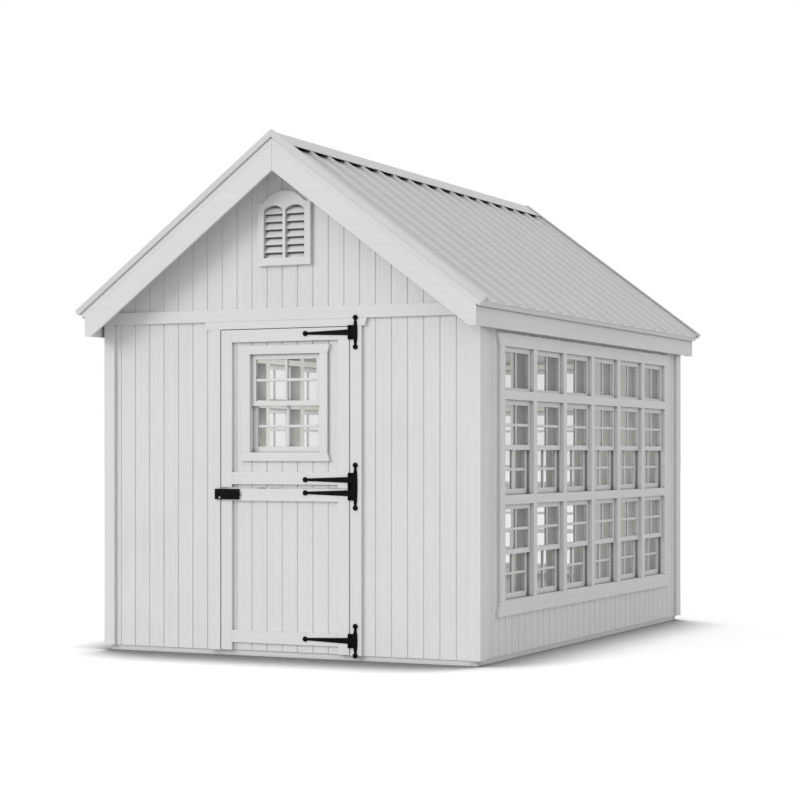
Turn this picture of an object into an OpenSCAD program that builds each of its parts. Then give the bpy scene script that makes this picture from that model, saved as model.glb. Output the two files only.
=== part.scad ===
// Garden greenhouse of painted timber on a joisted floor, with a steep
// ribbed metal roof, banks of windows in its walls and a two-leaf door.
// Millimetres. Z is up from the ground, the door faces -Y, and the origin
// is on the ground under the middle of the house.

/* [House] */
// Width of the floor frame, side to side
frame_w = 2438; // [2400:1:2600]
// Length of the floor frame, front to back
frame_d = 3658; // [3560:1:4600]
// Height of the top of the wall framing above the ground
wall_top = 2000; // [1995:1:2080]
// Depth of the floor joists
joist_h = 89; // [80:1:120]
// Middle-to-middle distance of the floor joists
joist_pitch = 406; // [300:1:620]
// Thickness of the floor boards
floor_t = 16; // [12:1:22]
// Thickness of studs, plates, joists and rafters
stud_t = 38; // [32:1:42]
// Depth of studs and rafters
stud_d = 89; // [70:1:100]
// Thickness of the wall siding
siding_t = 12.7; // [10:0.1:19]
// Height of the lower edge of the siding above the ground
skirt_z = 33; // [15:1:60]
// Thickness of the trim boards
trim_t = 19; // [16:1:25]
// Width of the corner boards and of the door and window casings
trim_w = 73; // [60:1:90]
// Distance of the band board's lower edge below the wall framing's top
band_board_drop = 14; // [8:1:20]
// Height of the band board across each end
band_board_h = 73; // [60:1:90]

/* [Roof] */
// Rise of the roof for each 12 of run
pitch = 9; // [8.5:0.25:10]
// Height of the roof boards' underside over the wall framing, at its face
heel_h = 86.75; // [80:0.25:110]
// Thickness of the roof boards
roof_t = 31; // [20:1:40]
// Distance of the fascia's outer face from the side of the floor frame
eave_out = 71; // [65:1:140]
// Distance that the roof boards reach past the fascia
deck_out = 16; // [5:1:30]
// Distance of the rake boards' outer face from the end of the floor frame
rake_out = 187; // [120:1:260]
// Height of the rake boards, measured plumb
rake_h = 154; // [120:1:180]
// Distance of the fascia's lower edge below the wall framing's top
fascia_drop = 86.5; // [60:0.5:90]
// Depth of the ridge board
ridge_h = 140; // [120:1:200]
// Number of rafter pairs
rafter_pairs = 7; // [5:1:9]
// Thickness of the metal roof sheets
sheet_t = 4; // [2:0.5:6]
// Height of the ribs above the sheet
rib_h = 19; // [12:1:25]
// Middle-to-middle distance of the ribs
rib_pitch = 228.6; // [150:0.1:305]
// Width of a rib at its foot
rib_foot = 44; // [30:1:60]
// Width of a rib at its top
rib_crown = 20; // [12:1:28]
// Distance that the sheets reach past the roof boards at the eaves
sheet_out = 5; // [0:1:8]
// Width of the ridge cap on each slope
cap_w = 90; // [60:1:140]
// Thickness of the ridge cap
cap_t = 4; // [2:0.5:6]
// Height of the rake edge trims over the roof boards
edge_h = 35; // [28:1:45]
// Distance that the rake edge trims stand before the rake boards
edge_out = 10; // [6:1:16]
// Seat of the rake edge trims on the sheets
edge_seat = 20; // [12:1:30]

/* [Gable vents] */
// Height of the lower edge of the vent frame above the ground
vent_z = 2308; // [2200:1:2330]
// Width of the vent frame
vent_w = 350; // [330:1:380]
// Height of the vent frame up to its shoulders
vent_shoulder_h = 370; // [350:1:390]
// Radius of the vent frame's arched head
vent_head_r = 172; // [165:0.5:175]
// Height of the middle of the arched head over the frame's lower edge
vent_head_z = 266; // [256:1:276]
// Radius of the hollow curves between shoulders and arched head
vent_ogee_r = 40; // [20:1:60]
// Distance that the vent frame stands out of the siding
vent_t = 24; // [16:1:32]
// Width of each vent opening
vent_open_w = 126; // [110:1:130]
// Width of the bar between the two vent openings
vent_bar_w = 18; // [14:1:26]
// Height of the vent openings' lower edge over the frame's lower edge
vent_open_z = 44; // [36:1:60]
// Radius of the vent openings' arched heads
vent_arch_r = 87; // [75:0.5:95]
// Height of the middle of those arches over the frame's lower edge
vent_arch_z = 268; // [258:1:276]
// Middle-to-middle distance of the louvre blades
blade_pitch = 45.5; // [40:0.5:60]
// Number of louvre blades in each opening
blade_count = 6; // [4:1:6]
// Width of a louvre blade
blade_w = 44; // [34:1:46]
// Distance of the louvre blades behind the vent frame's face
blade_inset = 7; // [1:0.5:12]
// Tilt of the louvre blades from level, in degrees
blade_tilt = 58; // [40:1:65]
// Thickness of a louvre blade
blade_t = 6; // [4:0.5:9]

/* [Windows] */
// Clear width of a window
window_w = 450; // [400:1:460]
// Width of the mullions between windows
mullion_w = 55.6; // [45:0.1:70]
// Least width of wall beside the windows at each end of a side wall
side_margin = 300; // [280:1:700]
// Least width of wall on each side of the windows in the back wall
back_margin = 600; // [260:1:800]
// Height of the lowest window openings above the ground
sill_z = 350; // [330:1:380]
// Clear height of a sliding window
window_h = 556; // [500:1:556]
// Height of the bands between the rows of windows
row_band_h = 54; // [45:1:60]
// Clear height of the top row of fixed windows
transom_h = 254; // [200:1:255]
// Height of the bottom rail of the windows above
transom_foot_h = 16; // [12:1:36]
// Height of the head board over a bank of windows
bank_head_h = 76; // [60:1:80]
// Height of the sill board under a bank of windows
bank_sill_h = 88; // [60:1:100]
// Sideways flare of the head board's ends
head_flare = 30; // [10:1:40]
// Sideways flare of the sill board's ends
sill_flare = 35; // [10:1:40]
// Distance of the outer sash face behind the trim's face
sash_recess = 23; // [21:0.5:28]
// Distance of the inner sash face behind the outer sash face
sash_step = 23; // [21:0.5:28]
// Thickness of a sash
sash_t = 20; // [16:0.5:20]
// Width of the sash stiles and top rails
sash_w = 30; // [22:1:36]
// Height of the bottom rail of a lower sash
sash_foot_h = 34; // [26:1:45]
// Thickness of the glass
glass_t = 3; // [2:0.5:6]
// Depth of the blocks between the window posts
block_h = 38; // [30:1:45]

/* [Door] */
// Clear width of the doorway
door_w = 863.6; // [800:0.1:900]
// Height of the head of the doorway above the ground
door_head_z = 1940; // [1935:1:1950]
// Height of the lower edge of the lower leaf above the ground
leaf_z = 36; // [20:1:60]
// Height of the split between the two leaves above the ground
split_z = 997.5; // [960:0.5:1010]
// Gap beside the leaves at the hinges, over the head and at the split
leaf_gap = 5; // [5:0.5:7]
// Gap beside the leaves at the latch
latch_gap = 6; // [6:0.5:8]
// Thickness of the leaves' boarded skin
leaf_t = 7.5; // [5:0.1:7.7]
// Width of the stiles and rails on the leaves
stile_w = 73; // [60:1:85]
// Height of the lower rail's lower edge over the lower leaf's lower edge
lower_rail_z = 46; // [30:1:60]
// Height of the upper leaf's lower rail over that leaf's lower edge
upper_rail_z = 20; // [10:1:30]
// Distance of the inner frame of a leaf from the leaf's edges
back_set = 24; // [20:1:40]
// Width of the boards of a leaf's inner frame
back_w = 89; // [60:1:110]
// Flare of the door head board's ends
door_head_flare = 16; // [5:1:25]
// Reach of the door head board past the casing
door_head_out = 19; // [10:1:30]
// Width of the door window's opening
door_window_w = 463; // [420:1:480]
// Height of the door window's lower edge above the ground
door_window_z = 1208.5; // [1190:0.5:1230]
// Height of the door window's opening
door_window_h = 579.5; // [540:0.5:590]
// Width of the boards around the door window
door_window_trim = 51; // [40:1:56]
// Flare of the ends of its head and sill boards
door_window_flare = 15; // [5:1:20]

/* [Ironwork] */
// Distance of the hinge axis before the trim's face
hinge_out = 8.5; // [8.4:0.1:12]
// Radius of the hinge knuckles
knuckle_r = 8; // [7:0.1:8]
// Height of each knuckle on the plates
knuckle_h = 23; // [18:1:28]
// Radius of the hinge pins
pin_r = 4; // [3:0.1:5]
// Radial clearance of a pin in its knuckle
pin_fit = 0.05; // [0.02:0.01:0.1]
// Thickness of straps and plates
iron_t = 4; // [3:0.1:5]
// Length of a strap, from the hinge axis to the middle of its tip
strap_l = 289; // [200:1:320]
// Height of a strap at the hinge
strap_root = 34; // [26:1:40]
// Height of a strap at its tip
strap_tip = 14; // [10:1:20]
// Width of the hinge plates on the casing
plate_w = 23; // [16:1:28]
// Distance of the plates' middle from the hinge axis
plate_out = 37.7; // [34:0.1:40]
// Length of the tapered ends of the plates
plate_taper = 38; // [25:1:42]
// Radius of the ball on each plate end and strap tip
ball_r = 12; // [8:0.5:12.5]
// Height of the upper hinge's middle below the door head
top_hinge_drop = 37; // [35:1:60]
// Distance of the lower leaf's upper strap below the split
under_split = 25.5; // [24:0.5:50]
// Distance of the upper leaf's lower strap above the split
over_split = 51.5; // [48:0.5:80]
// Height of the bottom strap's middle above the leaf's lower edge
low_strap_z = 82; // [60:1:120]
// Reach of the latch over the leaf, from the leaf's edge
latch_w = 125; // [90:1:140]
// Distance of the latch's body from the leaf's edge
latch_in = 5; // [3:1:15]
// Reach of the latch bar past the leaf's edge, over the casing
latch_reach = 37; // [32:1:60]
// Distance of the small hole in the bar from the leaf's edge
latch_hole_x = 4; // [0:1:20]
// Radius of the latch bar's round end
latch_knob_r = 9; // [6:0.5:11]
// Height of the latch
latch_h = 62; // [40:1:66]
// Distance that the latch stands out from the trim
latch_t = 13; // [12.5:0.5:18]
// Height of the latch's middle above the ground
latch_z = 961; // [900:1:962]
// Width of the keeper on the casing
keeper_w = 26; // [15:1:26]
// Thickness of the keeper
keeper_t = 2; // [1:0.5:3]

/* [Fits] */
// Gap between neighbouring boards and round each sash and pane
joint_gap = 0.3; // [0.1:0.1:0.5]
// Sideways play between a knuckle on a strap and those on the plates
knuckle_play = 1; // [0.5:0.1:2]

/* [Hidden] */
half_w = frame_w / 2;
half_d = frame_d / 2;
floor_z = joist_h + floor_t;
timber = [0.80, 0.77, 0.71];
white = [0.90, 0.90, 0.89];
metal_white = [0.87, 0.87, 0.86];
black = [0.06, 0.06, 0.06];
glass = [0.80, 0.86, 0.88, 0.4];

// How far a cut runs past the face that it opens
cut_past = 1;

// Depths from the face of the wall framing: outwards is negative
trim_v = -siding_t - trim_t;
side_x = half_w + siding_t + trim_t;
end_y = half_d + siding_t + trim_t;

// Roof geometry
slope = pitch / 12;
roof_angle = atan(slope);
rc = cos(roof_angle);
rs = sin(roof_angle);
apex_z = wall_top + heel_h + half_w * slope;
eave_x = half_w + eave_out;
eave_s = (eave_x + deck_out) / rc;
rake_y = half_d + rake_out;
sheet_seat = roof_t + joint_gap;
sheet_n = sheet_seat + sheet_t;
rib_n = sheet_n + rib_h;
edge_n = roof_t + edge_h;
edge_s = eave_s + sheet_out * 2;
function under_z(x) = apex_z - slope * x;
function rp(s, n) = [s * rc + n * rs, apex_z - s * rs + n * rc];
function peak(n) = [0, apex_z + n / rc];

// Window banks
bank_pitch = window_w + mullion_w;
side_columns = floor((frame_d - 2 * side_margin + mullion_w) / bank_pitch);
back_columns = floor((frame_w - 2 * back_margin + mullion_w) / bank_pitch);
function bank_half(n) = (n * bank_pitch - mullion_w) / 2;
row_1 = sill_z + window_h + row_band_h;
row_2 = row_1 + window_h + row_band_h;
bank_top = row_2 + transom_h;
side_top = under_z(half_w + siding_t) - joint_gap;
outer_v = trim_v + sash_recess;
inner_v = outer_v + sash_step;

// Door
door_half = door_w / 2;
hinge_x = door_half - leaf_gap / 2;
hinge_v = trim_v - hinge_out;
leaf_x0 = -door_half + latch_gap;
leaf_x1 = door_half - leaf_gap;
lower_top = split_z - leaf_gap / 2;
upper_z = split_z + leaf_gap / 2;
upper_top = door_head_z - leaf_gap;
skin_in = -siding_t + leaf_t;
head_top = wall_top - band_board_drop;
band_top = head_top + band_board_h;
strap_zs = [low_strap_z + leaf_z, split_z - under_split, split_z + over_split,
            door_head_z - top_hinge_drop];

// A box between two corners
module span(a, b)
  translate(a) cube(b - a);

// Outlines drawn in X and Z, made solid between two Y values
module along_y(y0, y1)
  translate([0, y1, 0]) rotate([90, 0, 0]) linear_extrude(y1 - y0) children();

// The same piece on both sides, or at both ends
module both_sides() {
  children();
  mirror([1, 0, 0]) children();
}
module both_ends() {
  children();
  mirror([0, 1, 0]) children();
}

// Wall frames: X runs along the wall, Y goes inwards from the framing's face
module on_front()
  translate([0, -half_d, 0]) children();
module on_back()
  mirror([0, 1, 0]) on_front() children();
module on_right()
  translate([half_w, 0, 0]) rotate([0, 0, 90]) children();
module on_left()
  mirror([1, 0, 0]) on_right() children();

// Floor
module floor_frame() color(timber) {
  count = round((frame_d - stud_t) / joist_pitch);
  step = (frame_d - stud_t) / count;
  inner = half_w - stud_t - joint_gap;
  both_sides() span([half_w - stud_t, -half_d, 0], [half_w, half_d, joist_h]);
  for (i = [0 : count])
    translate([0, -half_d + i * step, 0])
      span([-inner, 0, 0], [inner, stud_t, joist_h]);
}

module floor_deck() color(timber)
  span([-half_w, -half_d, joist_h], [half_w, half_d, floor_z]);

// Siding on an end wall: two slabs beside an opening of half width h
module end_siding(h) {
  top = band_top - 4 * joint_gap;
  both_sides() span([h, -siding_t, skirt_z], [half_w + siding_t, 0, top]);
}

// Outline of one end's siding above the walls, up to the roof boards
module gable_outline() {
  top = band_top - 3 * joint_gap;
  out = half_w + siding_t;
  polygon([[-out, top], [out, top], [out, under_z(out) - joint_gap],
           [0, apex_z - 2 * joint_gap], [-out, under_z(out) - joint_gap]]);
}

module vent_opening(c) {
  w = vent_open_w - 2 * c;
  top = vent_arch_z + sqrt(pow(vent_arch_r, 2) - pow(vent_open_w / 2, 2));
  translate([vent_bar_w / 2 + vent_open_w / 2, vent_z])
    intersection() {
      union() {
        translate([-w / 2, vent_open_z + c]) square([w, top - vent_open_z - c]);
        translate([0, vent_arch_z]) circle(r = vent_arch_r - c, $fn = 64);
      }
      translate([-w / 2, vent_open_z + c]) square([w, vent_shoulder_h]);
    }
}

module vent_openings(c) {
  vent_opening(c);
  mirror([1, 0]) vent_opening(c);
}

module front_wall() color(white) on_front() end_siding(door_half);

module front_gable() color(white) on_front() {
  along_y(-siding_t, 0) difference() {
    gable_outline();
    vent_openings(0);
  }
  span([-door_half + joint_gap, -siding_t, door_head_z],
       [door_half - joint_gap, 0, band_top - 4 * joint_gap]);
}

module back_wall() color(white) on_back() {
  h = bank_half(back_columns);
  end_siding(h);
  span([-h + joint_gap, -siding_t, skirt_z], [h - joint_gap, 0, sill_z]);
  span([-h + joint_gap, -siding_t, bank_top],
       [h - joint_gap, 0, band_top - 4 * joint_gap]);
}

module back_gable() color(white) on_back()
  along_y(-siding_t, 0) difference() {
    gable_outline();
    vent_openings(0);
  }

module side_siding() {
  h = bank_half(side_columns);
  both_sides() span([h, -siding_t, skirt_z], [half_d, 0, side_top]);
  span([-h + joint_gap, -siding_t, skirt_z], [h - joint_gap, 0, sill_z]);
  span([-h + joint_gap, -siding_t, bank_top], [h - joint_gap, 0, side_top]);
}
module right_wall() color(white) on_right() side_siding();
module left_wall() color(white) on_left() side_siding();

// Framing: plates lie, studs stand between them
module plate(x0, x1, z)
  span([x0, 0, z], [x1, stud_d, z + stud_t]);
module stud(x)
  span([x - stud_t / 2, 0, floor_z + stud_t + joint_gap],
       [x + stud_t / 2, stud_d, wall_top - stud_t - joint_gap]);

module wall_framing() color(timber) {
  corner = half_w - stud_t / 2;
  jamb = door_half + stud_t / 2;
  side_end = half_d - stud_d - joint_gap;
  on_front() {
    plate(-half_w, half_w, wall_top - stud_t);
    span([-door_half + joint_gap, 0, door_head_z],
         [door_half - joint_gap, stud_d, wall_top - stud_t - joint_gap]);
    both_sides() {
      plate(door_half, half_w, floor_z);
      stud(corner);
      stud(jamb);
      stud((corner + jamb) / 2);
    }
  }
  on_back() {
    edge = bank_half(back_columns) + stud_t;
    plate(-half_w, half_w, wall_top - stud_t);
    plate(-half_w, half_w, floor_z);
    both_sides() {
      stud(corner);
      stud((corner + edge) / 2);
    }
  }
  both_sides() on_right() {
    plate(-side_end, side_end, wall_top - stud_t);
    plate(-side_end, side_end, floor_z);
    both_sides() stud(side_end - stud_t / 2);
  }
}

// Posts at each mullion and bank edge, with blocks between them
module bank_framing(n) {
  h = bank_half(n);
  foot = floor_z + stud_t + joint_gap;
  head = wall_top - stud_t - joint_gap;
  both_sides() span([h, 0, foot], [h + stud_t, stud_d, head]);
  if (n > 1) for (i = [1 : n - 1])
    translate([-h + i * bank_pitch - mullion_w, 0, 0])
      span([0, 0, foot], [mullion_w, stud_d, head]);
  for (i = [0 : n - 1])
    translate([-h + i * bank_pitch, 0, 0]) {
      for (z = [[sill_z - block_h, sill_z], [bank_top, bank_top + block_h],
                [row_1 - row_band_h, row_1], [row_2 - row_band_h, row_2]])
        span([joint_gap, 0, z[0]], [window_w - joint_gap, stud_d, z[1]]);
    }
}

module window_framing() color(timber) {
  both_sides() on_right() bank_framing(side_columns);
  on_back() bank_framing(back_columns);
}

// A board with flared ends: half width at its straight edge, then flare
module flared_board(h, z, height, flare, up) {
  far = up ? z + height : z - height;
  along_y(trim_v, -siding_t)
    polygon([[-h, z], [h, z], [h + flare, far], [-h - flare, far]]);
}

module bank_casing(n) {
  h = bank_half(n);
  both_sides() span([h, trim_v, sill_z + joint_gap],
                    [h + trim_w, -siding_t, bank_top - joint_gap]);
  flared_board(h + trim_w, bank_top, bank_head_h, head_flare, true);
  flared_board(h + trim_w, sill_z, bank_sill_h, sill_flare, false);
  if (n > 1) for (i = [1 : n - 1])
    translate([-h + i * bank_pitch - mullion_w, 0, 0])
      span([0, trim_v, sill_z + joint_gap],
           [mullion_w, 0, bank_top - joint_gap]);
  for (i = [0 : n - 1], z = [row_1, row_2])
    translate([-h + i * bank_pitch, 0, 0])
      span([joint_gap, trim_v, z - row_band_h], [window_w - joint_gap, 0, z]);
}
module right_window_casing() color(white) on_right() bank_casing(side_columns);
module left_window_casing() color(white) on_left() bank_casing(side_columns);
module back_window_casing() color(white) on_back() bank_casing(back_columns);

// One sash: outer size w by h, at its lower left outer corner
module sash(w, h, foot)
  difference() {
    cube([w, sash_t, h]);
    translate([sash_w, -cut_past, foot])
      cube([w - 2 * sash_w, sash_t + 2 * cut_past, h - foot - sash_w]);
  }
module pane(w, h, foot)
  translate([sash_w + joint_gap, (sash_t - glass_t) / 2, foot + joint_gap])
    cube([w - 2 * (sash_w + joint_gap), glass_t,
          h - foot - sash_w - 2 * joint_gap]);

// Places the sashes of one sliding window: meeting rails overlap in height
module sliding_pair(w, h, glazed) {
  sw = w - 2 * joint_gap;
  sh = (h + sash_w) / 2 - joint_gap;
  translate([joint_gap, outer_v, h / 2 - sash_w / 2])
    if (glazed) pane(sw, sh, sash_w); else sash(sw, sh, sash_w);
  translate([joint_gap, inner_v, joint_gap])
    if (glazed) pane(sw, sh, sash_foot_h); else sash(sw, sh, sash_foot_h);
}

module bank_windows(n, glazed)
  for (i = [0 : n - 1])
    translate([-bank_half(n) + i * bank_pitch, 0, 0]) {
      for (z = [sill_z, row_1])
        translate([0, 0, z]) sliding_pair(window_w, window_h, glazed);
      translate([joint_gap, outer_v, row_2 + joint_gap])
        if (glazed) pane(window_w - 2 * joint_gap, transom_h - 2 * joint_gap, transom_foot_h);
        else sash(window_w - 2 * joint_gap, transom_h - 2 * joint_gap, transom_foot_h);
    }
module right_sashes() color(white) on_right() bank_windows(side_columns, false);
module left_sashes() color(white) on_left() bank_windows(side_columns, false);
module back_sashes() color(white) on_back() bank_windows(back_columns, false);
module right_glass() color(glass) on_right() bank_windows(side_columns, true);
module left_glass() color(glass) on_left() bank_windows(side_columns, true);
module back_glass() color(glass) on_back() bank_windows(back_columns, true);

// Corner boards: the end boards lap over the side boards
module corner_boards() color(white)
  both_ends() both_sides() {
    span([side_x - trim_w, -end_y, skirt_z],
         [side_x, -half_d - siding_t - joint_gap, head_top - joint_gap]);
    span([half_w + siding_t, -half_d - siding_t, skirt_z],
         [side_x, -half_d - siding_t + trim_w, under_z(side_x) - joint_gap]);
  }

module band_boards() color(white)
  both_ends() translate([0, -end_y, head_top])
    span([-side_x, 0, 0], [side_x, trim_t, band_board_h]);

// Roof
module rafter() {
  drop = stud_d / rc;
  inner = stud_t / 2 + joint_gap;
  seat_x = (apex_z - drop - wall_top) / slope;
  polygon([[inner, under_z(inner) - joint_gap], [half_w, under_z(half_w) - joint_gap],
           [half_w, wall_top], [seat_x, wall_top],
           [inner, under_z(inner) - drop]]);
}
module roof_frame() color(timber) {
  step = (frame_d - stud_t) / (rafter_pairs - 1);
  for (i = [0 : rafter_pairs - 1])
    both_sides() along_y(-half_d + i * step, -half_d + i * step + stud_t) rafter();
  top = under_z(stud_t / 2) - joint_gap;
  span([-stud_t / 2, -half_d, top - ridge_h], [stud_t / 2, half_d, top]);
}

module roof_deck() color(timber)
  both_sides() along_y(-rake_y, rake_y)
    polygon([[joint_gap / 2, under_z(joint_gap / 2)], rp(eave_s, 0),
             rp(eave_s, roof_t), [joint_gap / 2, under_z(joint_gap / 2) + roof_t / rc]]);

// Section across the ribs, along the house
module sheet_outline() {
  half = rake_y - joint_gap;
  count = floor((2 * half - rib_foot) / rib_pitch);
  first = -count * rib_pitch / 2;
  polygon(concat(
    [[-half, 0]],
    [[-half, sheet_t]],
    [for (i = [0 : count]) each [
      [first + i * rib_pitch - rib_foot / 2, sheet_t],
      [first + i * rib_pitch - rib_crown / 2, sheet_t + rib_h],
      [first + i * rib_pitch + rib_crown / 2, sheet_t + rib_h],
      [first + i * rib_pitch + rib_foot / 2, sheet_t]]],
    [[half, sheet_t]],
    [[half, 0]]));
}
module roof_panels() color(metal_white) {
  start = (joint_gap / 2 - sheet_seat * rs) / rc;
  both_sides() translate([0, 0, apex_z]) rotate([0, roof_angle, 0])
    translate([start, 0, sheet_seat]) rotate([90, 0, 90])
      linear_extrude(eave_s + sheet_out - start) sheet_outline();
}

module ridge_cap() color(metal_white) {
  reach = rake_y - edge_seat - joint_gap;
  along_y(-reach, reach)
    polygon([peak(rib_n), rp(cap_w, rib_n), rp(cap_w, rib_n + cap_t),
             peak(rib_n + cap_t), rp(cap_w, rib_n + cap_t) * [[-1, 0], [0, 1]],
             rp(cap_w, rib_n) * [[-1, 0], [0, 1]]]);
}

module slope_strip(n0, n1, y0, y1)
  along_y(y0, y1)
    polygon([[joint_gap / 2, under_z(joint_gap / 2) + n0 / rc], rp(edge_s, n0),
             rp(edge_s, n1), [joint_gap / 2, under_z(joint_gap / 2) + n1 / rc]]);

// Trims that close the ends of the metal sheets over the rakes
module rake_edge_trims() color(metal_white)
  both_ends() both_sides() difference() {
    slope_strip(roof_t, edge_n, -rake_y - edge_out, -rake_y + edge_seat);
    slope_strip(roof_t - cut_past, sheet_n + joint_gap,
                -rake_y, -rake_y + edge_seat + cut_past);
    rib_clear();
  }

// Room for an edge trim over the outermost rib
module rib_clear() {
  half = rake_y - joint_gap;
  count = floor((2 * half - rib_foot) / rib_pitch);
  edge_rib = count * rib_pitch / 2 + rib_foot / 2 + joint_gap;
  if (edge_rib > rake_y - edge_seat)
    slope_strip(0, rib_n + joint_gap, -edge_rib, -rake_y + edge_seat + cut_past);
}

module rake_boards() color(white) {
  low = wall_top - fascia_drop;
  both_ends() both_sides() along_y(-rake_y, -rake_y + trim_t)
    polygon([[joint_gap / 2, under_z(joint_gap / 2)], [eave_x, under_z(eave_x)],
             [eave_x, low], [(apex_z - rake_h - low) / slope, low],
             [joint_gap / 2, under_z(joint_gap / 2) - rake_h]]);
}

module fascia_boards() color(white) {
  low = wall_top - fascia_drop;
  inner = eave_x - trim_t;
  reach = rake_y - trim_t - joint_gap;
  both_sides() along_y(-reach, reach)
    polygon([[inner, low], [eave_x, low], [eave_x, under_z(eave_x)],
             [inner, under_z(inner)]]);
}

// Gable vents: a hollow curve leads from each shoulder into the arched head
module vent_foot() {
  rise = vent_shoulder_h - vent_head_z;
  reach = vent_head_r + vent_ogee_r;
  x = sqrt(pow(reach, 2) - pow(rise + vent_ogee_r, 2));
  meet = [x, rise + vent_ogee_r] * vent_head_r / reach;
  difference() {
    polygon([[0, 0], [x, 0], [x, rise], meet]);
    translate([x, rise + vent_ogee_r]) circle(r = vent_ogee_r, $fn = 96);
  }
}
module vent_outline() {
  translate([-vent_w / 2, vent_z]) square([vent_w, vent_shoulder_h]);
  translate([0, vent_z + vent_head_z]) {
    circle(r = vent_head_r, $fn = 96);
    vent_foot();
    mirror([1, 0]) vent_foot();
  }
}
module gable_vent_frames() color(white)
  both_ends() on_front() along_y(-siding_t - vent_t, -siding_t)
    difference() {
      vent_outline();
      vent_openings(0);
    }
module gable_vent_louvres() color(white)
  both_ends() on_front() both_sides() intersection() {
    along_y(-siding_t - vent_t + blade_inset, 0) vent_opening(joint_gap);
    for (i = [0 : blade_count])
      translate([0, -siding_t - vent_t + blade_inset + blade_w * cos(blade_tilt) / 2,
                 vent_z + vent_open_z + (i + 0.55) * blade_pitch])
        rotate([blade_tilt, 0, 0])
          span([0, -blade_w / 2, -blade_t / 2], [vent_w / 2, blade_w / 2, blade_t / 2]);
  }

// Doorway
module door_casing() color(white) on_front() {
  both_sides() span([door_half, trim_v, skirt_z],
                    [door_half + trim_w, -siding_t, door_head_z - joint_gap]);
  flared_board(door_half + trim_w + door_head_out, door_head_z,
               head_top - joint_gap - door_head_z, door_head_flare, true);
}

module upper_door_panel() color(white) on_front()
  difference() {
    span([leaf_x0, -siding_t, upper_z], [leaf_x1, skin_in, upper_top]);
    span([-door_window_w / 2, -siding_t - cut_past, door_window_z],
         [door_window_w / 2, skin_in + cut_past, door_window_z + door_window_h]);
  }
module lower_door_panel() color(white) on_front()
  span([leaf_x0, -siding_t, leaf_z], [leaf_x1, skin_in, lower_top]);

// Boards behind a leaf's skin, set back from its edges
module upper_door_frame() color(white) on_front() {
  half = door_window_w / 2;
  low = door_window_z - back_w;
  both_sides() span([half, skin_in, upper_z + back_set],
                    [half + back_w, skin_in + stud_t, upper_top - back_set]);
  span([-half + joint_gap, skin_in, low], [half - joint_gap, skin_in + stud_t, door_window_z]);
  span([-half + joint_gap, skin_in, door_window_z + door_window_h],
       [half - joint_gap, skin_in + stud_t, upper_top - back_set]);
}
module lower_door_frame() color(white) on_front() {
  x0 = leaf_x0 + back_set;
  x1 = leaf_x1 - back_set;
  low = floor_z + back_set;
  high = lower_top - back_set;
  for (x = [x0, x1 - back_w])
    span([x, skin_in, low], [x + back_w, skin_in + stud_t, high]);
  for (z = [low, (low + high - back_w) / 2, high - back_w])
    span([x0 + back_w + joint_gap, skin_in, z],
         [x1 - back_w - joint_gap, skin_in + stud_t, z + back_w]);
}

module leaf_stiles(z0, z1) {
  span([leaf_x0, trim_v, z0], [leaf_x0 + stile_w, -siding_t, z1]);
  span([leaf_x1 - stile_w, trim_v, z0], [leaf_x1, -siding_t, z1]);
}
module leaf_rail(z)
  span([leaf_x0 + stile_w + joint_gap, trim_v, z],
       [leaf_x1 - stile_w - joint_gap, -siding_t, z + stile_w]);

module lower_door_trim() color(white) on_front() {
  leaf_stiles(leaf_z, lower_top);
  leaf_rail(lower_top - stile_w);
  leaf_rail(leaf_z + lower_rail_z);
}
module upper_door_trim() color(white) on_front() {
  half = door_window_w / 2;
  top = door_window_z + door_window_h;
  leaf_stiles(upper_z, upper_top);
  leaf_rail(upper_top - stile_w);
  leaf_rail(upper_z + upper_rail_z);
  both_sides() span([half, trim_v, door_window_z + joint_gap],
                    [half + door_window_trim, -siding_t, top - joint_gap]);
  flared_board(half + door_window_trim, top, door_window_trim, door_window_flare, true);
  flared_board(half + door_window_trim, door_window_z, door_window_trim,
               door_window_flare, false);
}
module upper_door_sashes() color(white) on_front()
  translate([-door_window_w / 2, 0, door_window_z])
    sliding_pair(door_window_w, door_window_h, false);
module upper_door_glass() color(glass) on_front()
  translate([-door_window_w / 2, 0, door_window_z])
    sliding_pair(door_window_w, door_window_h, true);

// Hinges: plates with pins on the casing, straps on the leaves
module at_hinge(z)
  on_front() translate([hinge_x, hinge_v, z]) children();

// A flat bar with a ball on each end, lying on the trim's face
module plate_bar(z0, z1)
  translate([plate_out, hinge_out, 0]) rotate([90, 0, 0])
    linear_extrude(iron_t) {
      translate([-plate_w / 2, z0]) square([plate_w, z1 - z0]);
      polygon([[-plate_w / 2, z1], [plate_w / 2, z1], [plate_w / 4, z1 + plate_taper],
               [-plate_w / 4, z1 + plate_taper]]);
      polygon([[-plate_w / 2, z0], [plate_w / 2, z0], [plate_w / 4, z0 - plate_taper],
               [-plate_w / 4, z0 - plate_taper]]);
      for (z = [z0 - plate_taper - ball_r / 2, z1 + plate_taper + ball_r / 2])
        translate([0, z]) circle(r = ball_r, $fn = 32);
    }

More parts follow.
